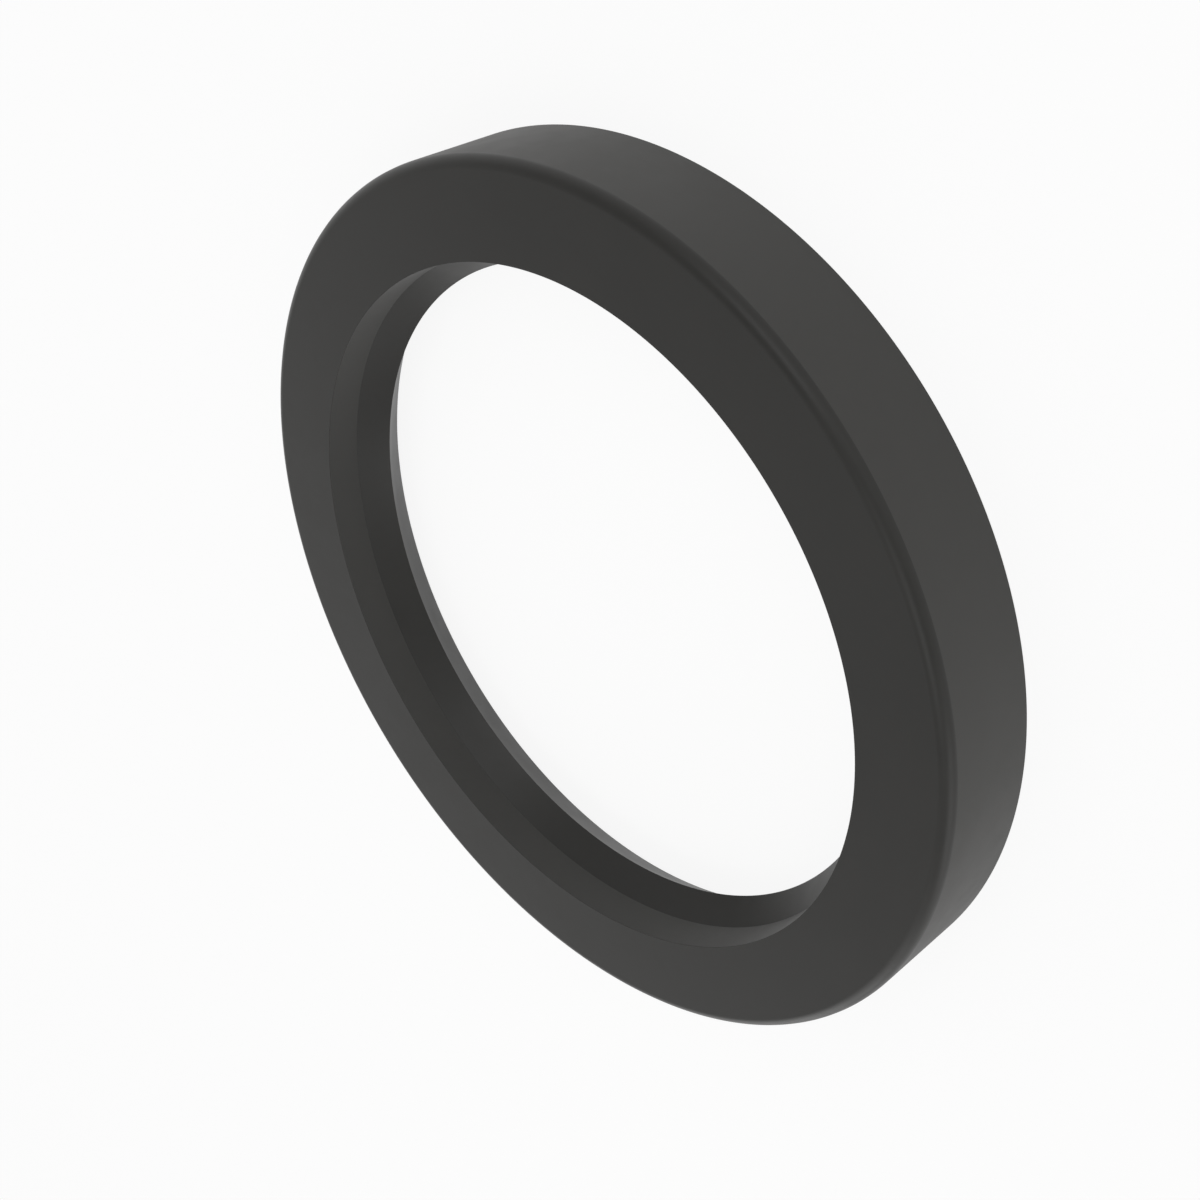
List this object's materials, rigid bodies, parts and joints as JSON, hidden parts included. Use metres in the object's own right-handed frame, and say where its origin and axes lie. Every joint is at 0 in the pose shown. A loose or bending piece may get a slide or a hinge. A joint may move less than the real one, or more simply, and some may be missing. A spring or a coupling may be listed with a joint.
{
  "type": "axle seal",
  "caption": "Round black rubber shaft seal: a flat front face with a rounded outer edge, and an inner lip that wipes a turning axle.",
  "frame": {"origin": "middle of the ring in the plane of its back rim, which it lies on", "axes": "+Z along the ring's axis, out of the flat front face; the ring is the same all round, so X and Y are any two directions across it"},
  "size_m": [0.065, 0.065, 0.0078],
  "materials": {
    "rubber": "satin"
  },
  "bodies": {
    "root": {"seal_ring": "rubber"}
  },
  "joints": []
}
